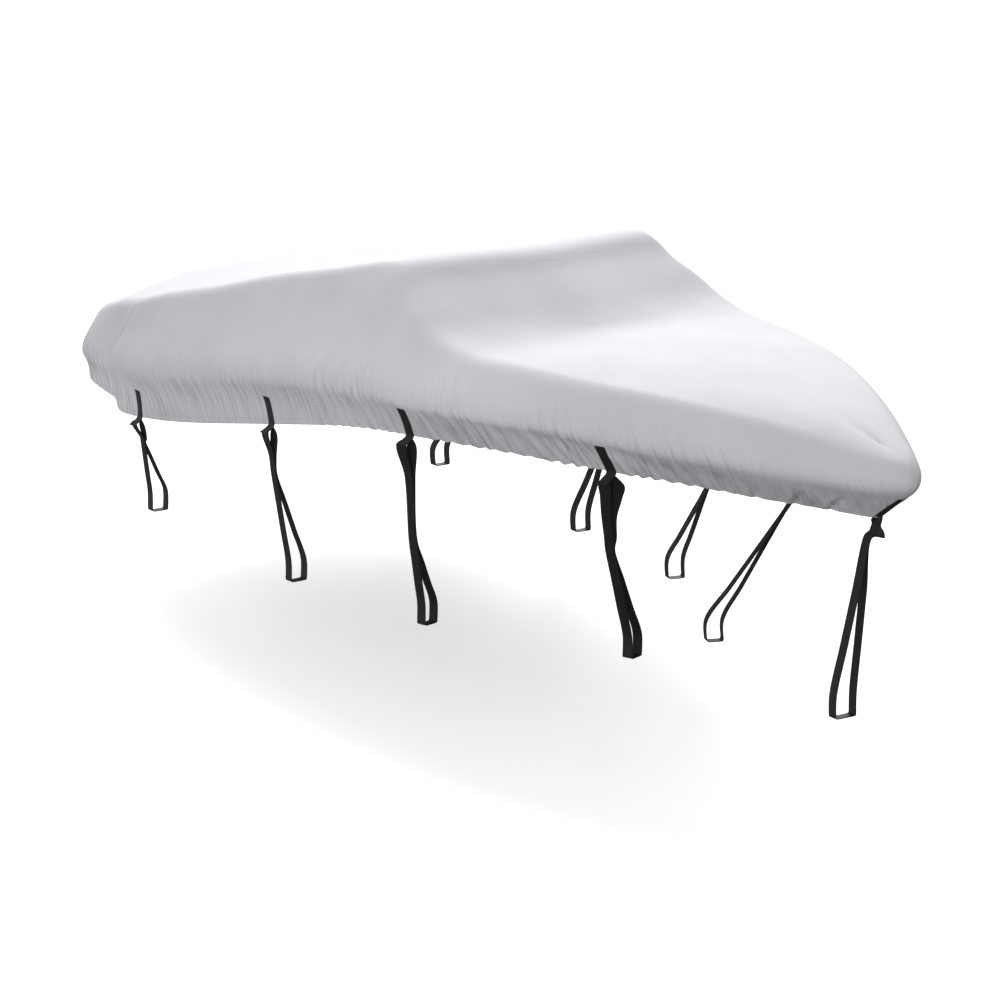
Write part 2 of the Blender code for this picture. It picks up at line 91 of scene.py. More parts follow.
# The cloth's cut. A row for each section, from the middle of the stern round the starboard side to
# the nose: its hem, the bulge where the side is fullest, the edge of the top, its place on the
# spine, and how far the side is drawn in between hem and bulge.
sectionTable = (
    (-3.000, 0.000, -1.055, -3.055, 0.000, -0.900, -2.930, 0.000, -0.668, -2.15, -0.402, 0.011),
    (-2.970, 0.450, -1.055, -3.030, 0.480, -0.900, -2.900, 0.460, -0.672, -2.12, -0.397, 0.011),
    (-2.850, 0.850, -1.060, -2.930, 0.860, -0.905, -2.800, 0.800, -0.690, -2.07, -0.388, 0.011),
    (-2.700, 0.968, -1.064, -2.800, 0.962, -0.910, -2.665, 0.895, -0.665, -2.02, -0.378, 0.011),
    (-2.480, 1.000, -1.082, -2.580, 0.995, -0.915, -2.450, 0.935, -0.605, -1.95, -0.361, 0.011),
    (-2.300, 1.035, -1.084, -2.425, 0.995, -0.905, -2.250, 0.955, -0.558, -1.88, -0.346, 0.011),
    (-2.180, 1.080, -1.120, -2.325, 1.050, -0.870, -2.045, 0.998, -0.510, -1.80, -0.328, 0.011),
    (-1.820, 1.090, -1.090, -1.950, 1.120, -0.830, -1.750, 0.990, -0.430, -1.60, -0.288, 0.011),
    (-1.380, 1.100, -1.020, -1.480, 1.137, -0.755, -1.360, 0.965, -0.335, -1.28, -0.228, 0.011),
    (-0.850, 1.098, -0.920, -0.930, 1.144, -0.655, -0.880, 0.915, -0.200, -0.84, -0.148, 0.011),
    (-0.407, 1.093, -0.835, -0.440, 1.145, -0.580, -0.420, 0.840, -0.100, -0.38, -0.050, 0.009),
    (-0.059, 1.089, -0.770, -0.050, 1.135, -0.535, -0.030, 0.750, -0.012, 0.12, 0.018, 0.006),
    (0.132, 1.080, -0.740, 0.140, 1.120, -0.522, 0.140, 0.780, -0.095, 0.30, -0.064, 0.003),
    (0.282, 1.057, -0.724, 0.320, 1.100, -0.515, 0.300, 0.825, -0.178, 0.47, -0.140, 0.001),
    (0.492, 1.021, -0.712, 0.550, 1.075, -0.512, 0.500, 0.850, -0.266, 0.68, -0.232, 0.000),
    (0.752, 0.961, -0.702, 0.820, 1.030, -0.508, 0.770, 0.832, -0.307, 0.83, -0.270, -0.002),
    (1.052, 0.876, -0.695, 1.140, 0.950, -0.503, 1.100, 0.780, -0.306, 1.16, -0.256, -0.004),
    (1.392, 0.761, -0.694, 1.500, 0.835, -0.497, 1.460, 0.710, -0.314, 1.48, -0.247, -0.006),
    (1.737, 0.623, -0.700, 1.840, 0.695, -0.510, 1.785, 0.610, -0.322, 1.76, -0.252, -0.007),
    (2.049, 0.446, -0.717, 2.220, 0.530, -0.530, 2.145, 0.468, -0.346, 2.06, -0.278, -0.007),
    (2.346, 0.274, -0.737, 2.580, 0.350, -0.550, 2.475, 0.318, -0.382, 2.34, -0.315, -0.005),
    (2.565, 0.136, -0.749, 2.830, 0.212, -0.568, 2.745, 0.182, -0.432, 2.56, -0.360, -0.002),
    (2.765, 0.048, -0.756, 2.990, 0.092, -0.582, 2.940, 0.088, -0.474, 2.72, -0.405, 0.000),
    (2.820, 0.000, -0.757, 3.050, 0.000, -0.588, 3.005, 0.000, -0.492, 2.80, -0.428, 0.000),
)

cover = {
    "columnSpacing": 0.0138,   # metres between two lines of vertices, round the bulge
    "lineSmoothing": 2.5,      # how far the section lines are evened out, in columns
    "profileSmoothing": 4,     # passes along each line, hem to spine
    "tuckAt": 0.50,            # height of the tuck between hem and bulge
    "tuckSoftness": (0.045, 0.060),    # how far each rounding reaches, down and up
    "bulgeSoftness": (0.120, 0.130),
    "topSoftness": (0.060, 0.055),
    "crownAt": 0.50,
    "crownFullness": 0.80,
    "crownSoftness": (0.60, 0.60),
    "straightRows": (9, 5, 8, 8, 5),   # rows between the rounded corners, from hem to spine
    "cornerRows": (7, 14, 15, 16),     # rows round tuck, bulge, top edge and crown
    "hemTurn": 0.032,          # width of the hem that is turned up inside
    "hemRadius": 0.0022,
    "hemHeights": (1.0, 0.66, 0.33, 0.0),   # rows of the part turned up, in shares of its width
    "hemAngles": (45, 90, 135),             # rows round the turn, in degrees
    "hemCalm": 0.030,          # up to this height the doubled hem holds the creases flat
    "hemShare": 0.55,          # what is left of them at the edge
    "sway": 0.0035,            # slow unevenness of the whole cloth
    "swaySize": 0.55,
}
cornerShare = 0.48             # the most of the way to the next corner that a rounding takes up


def smoothStep(t):
    t = np.clip(t, 0, 1)
    return t * t * (3 - 2 * t)


def gapsOf(line):
    return np.linalg.norm(np.diff(line, axis=0), axis=1)


def catmullRom(p0, p1, p2, p3, t):
    return 0.5 * (2 * p1 + (p2 - p0) * t + (2 * p0 - 5 * p1 + 4 * p2 - p3) * t * t
                  + (3 * p1 - p0 - 3 * p2 + p3) * t ** 3)


def sectionRing():
    rows = np.array(sectionTable)
    lines = np.zeros((len(rows), 13))  # hem, bulge, top and spine as x, y, z, then the tuck
    lines[:, 0:10] = rows[:, 0:10]
    lines[:, 11:13] = rows[:, 10:12]
    starboard = lines.copy()
    starboard[:, 1:9:3] *= -1
    return np.vstack((starboard, lines[-2:0:-1]))


def smoothRing(values, sigma):
    reach = int(4 * sigma)  # further out the weights are next to nothing
    kernel = np.exp(-0.5 * (np.arange(-reach, reach + 1) / sigma) ** 2)
    kernel /= kernel.sum()
    return sum(weight * np.roll(values, shift - reach, axis=0) for shift, weight in enumerate(kernel))


def fineLines():
    ring = sectionRing()
    count = len(ring)
    pieces = []
    for k in range(count):
        around = [ring[(k + step) % count] for step in (-1, 0, 1, 2)]
        span = np.linalg.norm(around[2][3:6] - around[1][3:6])
        steps = max(2, round(span / cover["columnSpacing"]))
        t = (np.arange(steps) / steps)[:, None]
        pieces.append(catmullRom(*around, t))
    lines = smoothRing(np.vstack(pieces), cover["lineSmoothing"])
    lines[:, 10] = 0.0
    return lines


def along(a, b, count):
    return [a + (b - a) * (k / count) for k in range(1, count + 1)]


def corner(before, at, after, softness):
    back, ahead = before - at, after - at
    backLength = np.linalg.norm(back, axis=1, keepdims=True)
    aheadLength = np.linalg.norm(ahead, axis=1, keepdims=True)
    backReach = np.minimum(softness[0], cornerShare * backLength)
    aheadReach = np.minimum(softness[1], cornerShare * aheadLength)
    return back / backLength * backReach, ahead / aheadLength * aheadReach


def baseCloth():
    lines = fineLines()
    hem, bulge, top, spine = (lines[:, k:k + 3] for k in (0, 3, 6, 9))
    inward = spine - bulge
    inward[:, 2] = 0.0
    inward /= np.linalg.norm(inward, axis=1, keepdims=True)
    tucked = hem + (bulge - hem) * cover["tuckAt"] + inward * lines[:, 12:13]
    crown = top + (spine - top) * cover["crownAt"]
    crown[:, 2] = top[:, 2] + (spine[:, 2] - top[:, 2]) * cover["crownFullness"]
    stations = [hem, tucked, bulge, top, crown, spine]
    softness = [cover[name + "Softness"] for name in ("tuck", "bulge", "top", "crown")]
    rounded = stations[:]
    for k in (1, 2, 3):  # moved out, so that each rounding passes through the place in the table
        even = (min(softness[k - 1]),) * 2
        back, ahead = corner(stations[k - 1], stations[k], stations[k + 1], even)
        rounded[k] = stations[k] - 0.25 * (back + ahead)
    path, current = [hem], hem
    for k in range(1, len(rounded) - 1):
        back, ahead = corner(rounded[k - 1], rounded[k], rounded[k + 1], softness[k - 1])
        control = rounded[k]
        start, end = control + back, control + ahead
        path += along(current, start, cover["straightRows"][k - 1])
        for step in range(1, cover["cornerRows"][k - 1] + 1):
            t = step / cover["cornerRows"][k - 1]
            path.append((1 - t) ** 2 * start + 2 * t * (1 - t) * control + t * t * end)
        current = end
    path += along(current, spine, cover["straightRows"][-1])
    points = np.stack(path, axis=1)  # columns, rows, xyz
    for _ in range(cover["profileSmoothing"]):
        inner = 0.25 * points[:, :-2] + 0.5 * points[:, 1:-1] + 0.25 * points[:, 2:]
        ridge = 0.5 * (points[:, -1] + points[:, -2])
        ridge[:, 1] = 0.0
        points[:, 1:-1] = inner
        points[:, -1] = ridge
    return points


def normalsOf(points):
    onward = np.roll(points, -1, axis=0) - np.roll(points, 1, axis=0)
    up = np.gradient(points, axis=1)
    normal = np.cross(onward, up)
    mirrored = (-np.arange(len(points))) % len(points)
    ridge = normal[:, -1] + normal[mirrored, -1] * np.array((1, -1, 1))
    ridge[:, 1] = 0.0
    normal[:, -1] = ridge
    return normal / np.maximum(np.linalg.norm(normal, axis=2, keepdims=True), 1e-12)


def clothPlaces(points):
    # How far round from the stern each column is, and how far up from the hem each row is, in metres
    step = np.linalg.norm(np.roll(points, -1, axis=0) - points, axis=2)
    level = cover["straightRows"][0] + cover["cornerRows"][0] + cover["straightRows"][1]
    gaps = step[:, level]
    total = gaps.sum()
    u = np.concatenate(([0.0], np.cumsum(gaps)[:-1]))
    u = np.where(u > total / 2, u - total, u)  # starboard is positive, port negative
    rise = np.linalg.norm(np.diff(points, axis=1), axis=2)
    v = np.concatenate((np.zeros((len(points), 1)), np.cumsum(rise, axis=1)), axis=1)
    return np.repeat(u[:, None], points.shape[1], axis=1), v


# The main creases, listed one by one. u is metres round from the middle of the stern and v metres up
# from the hem; a crease runs from its foot u, v to its head uEnd, vEnd and bows aside by bow. It is
# a trough depth deep with a ridge beside it, ridge times as high. They are made on both sides.
foldColumns = ("u", "v", "uEnd", "vEnd", "bow", "width", "depth", "ridge")
foldTable = (
    # the edge of the stern panel, from the hem's notch up to the top
    (1.42, -0.04, 1.53, 0.80, -0.050, 0.014, 0.0105, 0.90),
    # fine upright ones over the skirt, aft
    (1.78, -0.06, 1.80, 0.30, 0.010, 0.015, 0.0043, 0.60),
    (1.98, -0.06, 2.02, 0.34, 0.008, 0.016, 0.0043, 0.50),
    (2.12, 0.16, 2.22, 0.42, 0.000, 0.015, 0.0058, 0.80),
    (2.18, 0.15, 2.28, 0.40, 0.000, 0.015, 0.0052, 0.80),
    (2.30, -0.06, 2.33, 0.40, 0.010, 0.015, 0.0049, 0.60),
    (2.44, -0.06, 2.40, 0.52, -0.012, 0.016, 0.0064, 0.70),
    (2.58, -0.06, 2.50, 0.54, -0.012, 0.016, 0.0067, 0.70),
    (2.69, -0.06, 2.62, 0.50, -0.008, 0.018, 0.0064, 0.60),
    (2.84, -0.06, 2.86, 0.46, 0.012, 0.016, 0.0052, 0.60),
    (2.96, -0.06, 3.00, 0.44, 0.010, 0.018, 0.0052, 0.50),
    (3.14, -0.06, 3.16, 0.40, 0.008, 0.019, 0.0043, 0.50),
    (3.34, -0.06, 3.38, 0.42, 0.008, 0.019, 0.0041, 0.50),
    (3.52, -0.06, 3.52, 0.44, 0.000, 0.021, 0.0046, 0.50),
    # long soft ones that run down from the top
    (3.30, 0.30, 3.14, 0.78, 0.020, 0.060, 0.0060, 0.40),
    (3.60, 0.34, 3.42, 0.86, 0.020, 0.070, 0.0070, 0.40),
    (3.76, 0.36, 3.56, 0.80, 0.020, 0.060, 0.0060, 0.40),
    (4.16, 0.44, 4.02, 0.90, 0.020, 0.080, 0.0060, 0.30),
    # slanting pulls amidships
    (3.81, -0.06, 3.75, 0.34, -0.012, 0.021, 0.0177, 0.70),
    (3.93, -0.06, 3.80, 0.33, -0.014, 0.021, 0.0204, 0.80),
    (4.01, -0.06, 3.87, 0.32, -0.014, 0.021, 0.0169, 0.70),
    (4.09, -0.06, 3.94, 0.34, -0.016, 0.021, 0.0194, 0.80),
    (4.18, -0.06, 4.00, 0.32, -0.016, 0.021, 0.0169, 0.70),
    (4.28, -0.06, 4.07, 0.31, -0.018, 0.021, 0.0194, 0.80),
    (4.33, -0.06, 4.16, 0.29, -0.014, 0.021, 0.0142, 0.60),
    (4.39, -0.06, 4.26, 0.27, -0.012, 0.021, 0.0123, 0.60),
    (4.44, -0.06, 4.35, 0.26, -0.010, 0.021, 0.0101, 0.50),
    # short ones between the two forward tabs
    (4.70, -0.06, 4.56, 0.22, -0.010, 0.021, 0.0142, 0.70),
    (4.78, -0.06, 4.66, 0.24, -0.010, 0.021, 0.0126, 0.60),
    (4.89, -0.06, 4.76, 0.26, -0.012, 0.021, 0.0142, 0.70),
    (5.00, -0.06, 4.84, 0.24, -0.014, 0.021, 0.0169, 0.80),
    (5.06, -0.06, 4.93, 0.22, -0.010, 0.021, 0.0123, 0.60),
    (5.16, -0.06, 5.04, 0.20, -0.010, 0.021, 0.0117, 0.60),
    (5.28, -0.06, 5.14, 0.22, -0.010, 0.021, 0.0126, 0.60),
    (5.46, -0.06, 5.23, 0.22, -0.018, 0.021, 0.0187, 0.80),
    (5.54, -0.06, 5.29, 0.22, -0.020, 0.021, 0.0204, 0.80),
    (5.61, -0.06, 5.35, 0.23, -0.020, 0.021, 0.0187, 0.80),
    (5.66, -0.06, 5.45, 0.22, -0.014, 0.021, 0.0142, 0.60),
    (5.69, -0.06, 5.54, 0.21, -0.010, 0.021, 0.0117, 0.60),
    # forward of the last tab, down to the hem of the bow
    (5.89, -0.06, 5.69, 0.20, -0.014, 0.021, 0.0164, 0.70),
    (5.96, -0.06, 5.76, 0.19, -0.014, 0.021, 0.0169, 0.80),
    (6.03, -0.06, 5.85, 0.18, -0.012, 0.021, 0.0147, 0.70),
    (6.12, -0.06, 5.97, 0.17, -0.010, 0.021, 0.0126, 0.60),
    (6.21, -0.06, 6.08, 0.16, -0.010, 0.021, 0.0112, 0.60),
    (6.36, -0.06, 6.26, 0.18, -0.008, 0.021, 0.0101, 0.50),
    (6.54, -0.06, 6.46, 0.16, -0.006, 0.021, 0.0091, 0.50),
    (6.74, -0.06, 6.70, 0.18, 0.000, 0.021, 0.0101, 0.50),
    (6.90, -0.06, 6.90, 0.20, 0.000, 0.021, 0.0112, 0.60),
)
portUnevenness = 0.035         # how far a crease on the port side strays from its twin's place
portDepths = (0.6, 1.2)        # and how deep it is, in shares of its twin's depth

# Runs of small gathers between them: from u to uEnd, one about every spacing metres, up to vEnd
gatherColumns = ("u", "uEnd", "spacing", "vEnd", "lean", "width", "depth")
gatherTable = (
    (-1.40, 1.40, 0.046, 0.23, 0.00, 0.014, 0.0105),
    (1.60, 3.70, 0.085, 0.30, 0.02, 0.012, 0.0014),
    (3.70, 6.30, 0.100, 0.20, -0.09, 0.014, 0.0016),
    (6.30, 7.10, 0.080, 0.16, 0.00, 0.014, 0.0020),
)
gatherSpread = {               # each is drawn between two shares of the table's value
    "first": (0.2, 0.8),
    "spacing": (0.6, 1.5),
    "lean": (0.6, 1.4),
    "vEnd": (0.55, 1.15),
    "width": (0.7, 1.3),
    "depth": (0.4, 1.3),
    "ridge": (0.3, 0.9),       # this one in shares of the depth
}
gatherFoot = -0.09             # metres; they start below the hem, so that they are full at its edge
leanStray = 0.008
bowStray = 0.006
foldSeed = 21

creaseForm = {
    "reach": 4,                # widths from its line beyond which a crease lifts nothing
    "pathPoints": 7,
    "footWidth": 0.7,          # share of its width at the foot, and how much more at the head
    "widening": 0.6,
    "ridgeAt": 1.5,            # widths from the trough to the ridge
    "ridgeWidth": 0.9,
    "footFade": 0.1,           # share of its length over which it fades in, and out
    "headFade": 0.4,
}


def foldLift(u, v, fold):
    # Lift of the cloth by one fold: a soft trough with a ridge beside it, fading out at both ends
    start = np.array((fold["u"], fold["v"]))
    end = np.array((fold["uEnd"], fold["vEnd"]))
    run = end - start
    length = np.linalg.norm(run)
    side = np.array((-run[1], run[0])) / length
    middle = 0.5 * (start + end) + side * fold["bow"]
    margin = creaseForm["reach"] * fold["width"]
    lo = np.minimum(np.minimum(start, end), middle) - margin
    hi = np.maximum(np.maximum(start, end), middle) + margin
    near = (u > lo[0]) & (u < hi[0]) & (v > lo[1]) & (v < hi[1])
    lift = np.zeros(u.shape)
    if not near.any():
        return lift
    place = np.stack((u[near], v[near]), axis=1)
    steps = np.linspace(0, 1, creaseForm["pathPoints"])
    path = [(1 - t) ** 2 * start + 2 * t * (1 - t) * middle + t * t * end for t in steps]
    best = np.full(len(place), 1e9)
    across, share = np.zeros(len(place)), np.zeros(len(place))
    for k, (a, b) in enumerate(zip(path, path[1:])):
        piece = b - a
        t = np.clip((place - a) @ piece / (piece @ piece), 0, 1)
        offset = place - a - t[:, None] * piece
        distance = np.hypot(offset[:, 0], offset[:, 1])
        closer = distance < best
        sign = np.sign(piece[0] * offset[:, 1] - piece[1] * offset[:, 0])
        best = np.where(closer, distance, best)
        across = np.where(closer, sign * distance, across)
        share = np.where(closer, (k + t) / (len(path) - 1), share)
    q = across / (fold["width"] * (creaseForm["footWidth"] + creaseForm["widening"] * share))
    fromRidge = (q - creaseForm["ridgeAt"]) / creaseForm["ridgeWidth"]
    shape = -np.exp(-q ** 2) + fold["ridge"] * np.exp(-fromRidge ** 2)
    fadeIn = np.clip(share / creaseForm["footFade"], 0, 1)
    fadeOut = np.clip((1 - share) / creaseForm["headFade"], 0, 1)
    lift[near] = fold["depth"] * shape * smoothStep(fadeIn * fadeOut)
    return lift


def mainFolds(rng):
    folds = []
    for row in foldTable:
        fold = dict(zip(foldColumns, row))
        stray = rng.normal(0, portUnevenness)
        port = dict(fold, u=-fold["u"] + stray, uEnd=-fold["uEnd"] + stray, bow=-fold["bow"])
        port["depth"] *= rng.uniform(*portDepths)
        folds += [fold, port]
    return folds


def drawn(rng, name):
    return rng.uniform(*gatherSpread[name])


def gatherFolds(rng):
    folds = []
    for row in gatherTable:
        gather = dict(zip(gatherColumns, row))
        for side in (1, -1):
            if side < 0 and gather["u"] < 0:
                continue
            u = gather["u"] + gather["spacing"] * drawn(rng, "first")
            while u < gather["uEnd"]:
                lean = gather["lean"] * drawn(rng, "lean") + rng.normal(0, leanStray)
                folds.append({
                    "u": side * u,
                    "v": gatherFoot,
                    "uEnd": side * (u + lean),
                    "vEnd": gather["vEnd"] * drawn(rng, "vEnd"),
                    "bow": rng.normal(0, bowStray),
                    "width": gather["width"] * drawn(rng, "width"),
                    "depth": gather["depth"] * drawn(rng, "depth"),
                    "ridge": drawn(rng, "ridge")})
                u += gather["spacing"] * drawn(rng, "spacing")
    return folds


def turnedHem(outer, normal, v):
    # The cloth turns round a small radius and goes up inside by the width of the hem
    down = outer[:, 0] - outer[:, 1]
    down /= np.linalg.norm(down, axis=1, keepdims=True)
    radius = cover["hemRadius"]
    turned = []
    for height in cover["hemHeights"]:
        inside = np.array([np.interp(height * cover["hemTurn"], v[k], outer[k, :, axis])
                           for k in range(len(outer)) for axis in range(3)]).reshape(-1, 3)
        turned.append(inside - normal[:, 0] * 2 * radius)
    for angle in cover["hemAngles"]:
        swing = math.radians(angle)
        inward = normal[:, 0] * radius * (1 + math.cos(swing))
        turned.append(outer[:, 0] - inward + down * radius * math.sin(swing))
    return turned


def buildCloth():
    points = baseCloth()
    normal = normalsOf(points)
    u, v = clothPlaces(points)
    rng = np.random.default_rng(foldSeed)
    lift = np.zeros(u.shape)
    for fold in mainFolds(rng) + gatherFolds(rng):
        lift += foldLift(u, v, fold)
    lift *= cover["hemShare"] + (1 - cover["hemShare"]) * smoothStep(v / cover["hemCalm"])
    flat = points.reshape(-1, 3) / cover["swaySize"]
    sway = np.array([noise.noise(Vector(place)) for place in flat]).reshape(u.shape)
    lift += sway * cover["sway"]
    outer = points + normal * lift[:, :, None]
    outer[:, -1, 1] = 0.0
    turned = turnedHem(outer, normalsOf(outer), v)
    count, turns = len(outer), len(turned)
    points = np.concatenate((np.stack(turned, axis=1), outer), axis=1)
    # Places for the weave: alike on both sides, so that they run on over the nose and the spine
    fromStern = np.abs(np.concatenate((np.repeat(u[:, :1], turns, axis=1), u), axis=1))
    fromHem = np.concatenate((np.zeros((count, turns)), v), axis=1)
    return points, np.stack((fromStern, fromHem, points[:, :, 1]), axis=2)


def clothMesh(points, places):
    count, rows = points.shape[:2]
    index = np.arange(count)[:, None] * rows + np.arange(rows)[None, :]
    mirrored = (-np.arange(count)) % count
    ridge = np.minimum(index[:, -1], index[mirrored, -1])  # both sides share the spine's vertices
    index[:, -1] = ridge
    used, compact = np.unique(index, return_inverse=True)
    index = compact.reshape(index.shape)
    there = np.roll(index, -1, axis=0)
    quads = np.stack((index[:, :-1], there[:, :-1], there[:, 1:], index[:, 1:]), axis=2).reshape(-1, 4)
    mesh = bpy.data.meshes.new("coverCloth")
    mesh.from_pydata(points.reshape(-1, 3)[used].tolist(), [], quads.tolist())
    attribute = mesh.attributes.new("clothPlace", "FLOAT_VECTOR", "POINT")
    attribute.data.foreach_set("vector", places.reshape(-1, 3)[used].ravel())
    mesh.validate()
    mesh.shade_smooth()
    return addItem("coverCloth", mesh)


# Coated polyester, plain woven and calendered: a dull silver grey with a faint sheen, its threads
# too fine to see, so that only slubs and the faint grain of warp and weft show
clothLook = {
    "colour": "#CCCDD1",
    "shade": "#C4C5C9",
    "toneStops": (0.35, 0.72),
    "roughness": 0.72,
    "ior": 1.5,
    "specular": 0.3,
    "threadGrain": 0.006,      # real threads are 0.5 mm apart; drawn 6 mm apart, so that they show
    "threadLength": 22,        # how many times longer than wide a slub is
    "weftShare": 0.5,
    "grainHeight": 0.0006,
    "grainStrength": 0.5,
    "grainTone": 0.25,         # how much the grain, and the broad clouds, change the colour
    "cloudTone": 0.7,
    "cloudScale": 2.2,
    "creaseSpacing": 0.028,    # metres between the finest creases, too fine for the mesh
    "creaseLength": 0.30,
    "creaseHeight": 0.0330,
    # how far they lean aside per metre of height, by metres from the stern's middle
    "lean": {"From Min": 3.4, "From Max": 4.0, "To Min": 0.0, "To Max": 0.55},
    "patchScale": (0.07, 0.8, 1.0),    # size of the patches in which they are deep or shallow
    "patches": {"From Min": 0.35, "From Max": 0.65, "To Min": 0.25, "To Max": 1.0},
    # what is left of them, by height above the hem
    "fade": {"From Min": 0.08, "From Max": 0.50, "To Min": 1.0, "To Max": 0.0},
    "stitchAt": 0.028,         # height of the hem's line of stitches
    "stitchWidth": 0.0011,
    "stitchLength": 0.0050,
    "stitchGap": -0.5,         # where the beat of the stitches is lower, the thread is out of sight
    "stitchColour": "#A9AAAE",
}


def fineCreases(tree, axes):
    # Height of the finest creases: narrow across, long up the side, dying out above the skirt
    look = clothLook
    lean = addNode(tree, "MapRange", {"Value": axes["X"], **look["lean"]}, interpolation_type="SMOOTHSTEP")
    aside = addNode(tree, "Math", {0: lean, 1: axes["Y"]}, operation="MULTIPLY")
    across = addNode(tree, "Math", {0: axes["X"], 1: aside}, operation="ADD")
    place = addNode(tree, "CombineXYZ", {
        "X": addNode(tree, "Math", {0: across, 1: look["creaseSpacing"]}, operation="DIVIDE"),
        "Y": addNode(tree, "Math", {0: axes["Y"], 1: look["creaseLength"]}, operation="DIVIDE"),
        "Z": axes["Z"]})
    crease = addNode(tree, "TexNoise", {"Vector": place, "Scale": 1.0, "Detail": 1.0})
    broad = addNode(tree, "VectorMath", {0: place, 1: look["patchScale"]}, operation="MULTIPLY")
    patches = addNode(tree, "TexNoise", {"Vector": broad, "Scale": 1.0, "Detail": 1.0})
    deep = addNode(tree, "MapRange", {"Value": patches, **look["patches"]}, interpolation_type="SMOOTHSTEP")
    fade = addNode(tree, "MapRange", {"Value": axes["Y"], **look["fade"]}, interpolation_type="SMOOTHSTEP")
    height = addNode(tree, "Math", {0: crease, 1: deep}, operation="MULTIPLY")
    return addNode(tree, "Math", {0: height, 1: fade}, operation="MULTIPLY")


def stitchLine(tree, axes):
    # One where a stitch of the hem's seam shows, and nought elsewhere
    look = clothLook
    offset = addNode(tree, "Math", {0: axes["Y"], 1: look["stitchAt"]}, operation="SUBTRACT")
    aside = addNode(tree, "Math", {0: offset}, operation="ABSOLUTE")
    onLine = addNode(tree, "Math", {0: aside, 1: look["stitchWidth"]}, operation="LESS_THAN")
    angle = addNode(tree, "Math", {0: axes["X"], 1: math.tau / look["stitchLength"]}, operation="MULTIPLY")
    beat = addNode(tree, "Math", {0: angle}, operation="SINE")
    shown = addNode(tree, "Math", {0: beat, 1: look["stitchGap"]}, operation="GREATER_THAN")
    return addNode(tree, "Math", {0: onLine, 1: shown}, operation="MULTIPLY")


def wovenPolyester():
    material, tree, shader = newMaterial("wovenPolyester")
    look = clothLook
    place = addNode(tree, "Attribute", attribute_name="clothPlace").outputs["Vector"]
    axes = addNode(tree, "SeparateXYZ", {"Vector": place}).outputs
    fine = 1 / look["threadGrain"]
    coarse = fine / look["threadLength"]
    grains = []
    for factors in ((fine, coarse, 0.0), (coarse, fine, 0.0)):  # warp, weft
        threads = addNode(tree, "VectorMath", {0: place, 1: factors}, operation="MULTIPLY")
        grains.append(addNode(tree, "TexNoise", {"Vector": threads, "Scale": 1.0, "Detail": 2.0}))
    weft = addNode(tree, "Math", {0: grains[1], 1: look["weftShare"]}, operation="MULTIPLY")
    weave = addNode(tree, "Math", {0: grains[0], 1: weft}, operation="ADD")
    cloud = addNode(tree, "TexNoise", {"Vector": place, "Scale": look["cloudScale"], "Detail": 3.0})
    tone = addNode(tree, "Math", {
        0: addNode(tree, "Math", {0: cloud, 1: look["cloudTone"]}, operation="MULTIPLY"),
        1: addNode(tree, "Math", {0: weave, 1: look["grainTone"]}, operation="MULTIPLY")}, operation="ADD")
    tints = toLinear(look["shade"]), toLinear(look["colour"])
    colour = addNode(tree, "ValToRGB", {"Fac": tone}, stops=zip(look["toneStops"], tints))
    thread = {0: stitchLine(tree, axes), 6: colour, 7: toLinear(look["stitchColour"])}
    colour = addNode(tree, "Mix", thread, data_type="RGBA").outputs[2]
    creases = addNode(tree, "Bump", {
        "Height": fineCreases(tree, axes), "Distance": look["creaseHeight"], "Strength": 1.0})
    bump = addNode(tree, "Bump", {
        "Height": weave, "Distance": look["grainHeight"], "Strength": look["grainStrength"],
        "Normal": creases})
    finishShader(tree, shader, colour, bump, look)
    return material


points, places = buildCloth()
coverCloth = clothMesh(points, places)
coverCloth.data.materials.append(wovenPolyester())
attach(coverCloth, "root")
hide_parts("cover_cloth")
print("cover cloth:", len(coverCloth.data.polygons), "faces")


# The straps. A row for each: its tab crosses the hem at hemX, its top end lean ahead of that. Its
# loop passes under a bar whose underside is at barX, barY, barZ, turned in by barTurn degrees. meet
# and part are the shares of the drop where the two runs come together and part again, and shift is
# how far ahead of the strap's line they lie in between.
strapColumns = ("name", "hemX", "lean", "barX", "barY", "barZ", "barTurn", "barWidth",
                "meet", "part", "shift")
strapTable = (
    ("stern", -1.940, -0.022, -2.130, 0.890, -1.672, 0.0, 0.088, 0.29, 0.32, -0.008),
    ("quarter", -0.582, -0.020, -0.742, 0.872, -1.737, 3.0, 0.088, 0.24, 0.36, -0.044),
    ("helm", 0.549, -0.005, 0.278, 0.743, -1.737, 15.0, 0.082, 0.25, 0.62, -0.031),
    ("deck", 1.684, -0.010, 1.287, 0.240, -1.737, 20.0, 0.078, 0.40, 0.47, -0.052),
)
bowStrap = ("bow", 2.800, 0.165, 2.585, 0.000, -1.735, 0.0, 0.110, 0.12, 0.12, -0.030)

webbing = {
    "width": 0.055,
    "thickness": 0.0016,
    "barHeight": 0.102,
    "barSlack": 0.001,
    "bend": 0.010,             # how far the rounding at the bar's edges reaches
    "bendRows": 6,
    "runRows": 3,              # rows of each run, from where they part to the bar
    "runSpacing": 0.0045,
    "meetOffset": 0.014,       # rear run ahead of the front one where they come together
    "tabLength": 0.137,
    "tabGap": 0.0008,
    "tabRows": 22,
    "tabBridging": 3,          # passes that even out the sewn part, stiffer than the cloth's folds
    "tabReach": 0.3,           # how far out the search for the cloth starts
    "rowSpacing": 0.006,       # metres between rows of faces along the webbing
    "facesAcross": 6,
    "apexHalf": 0.008,         # half of the width to which a loop is gathered at its top
    "apexSlant": 0.4,
    "apexFore": 0.006,
    "apexOut": 0.0016,
    "apexApart": 0.0009,       # half of the gap between its two ends there
    "apexDrop": 0.016,         # how far below the hem that is
    "bowApexDrop": 0.046,
    "hemColumns": 8,           # columns to each side from which a tab takes the hem's direction
}

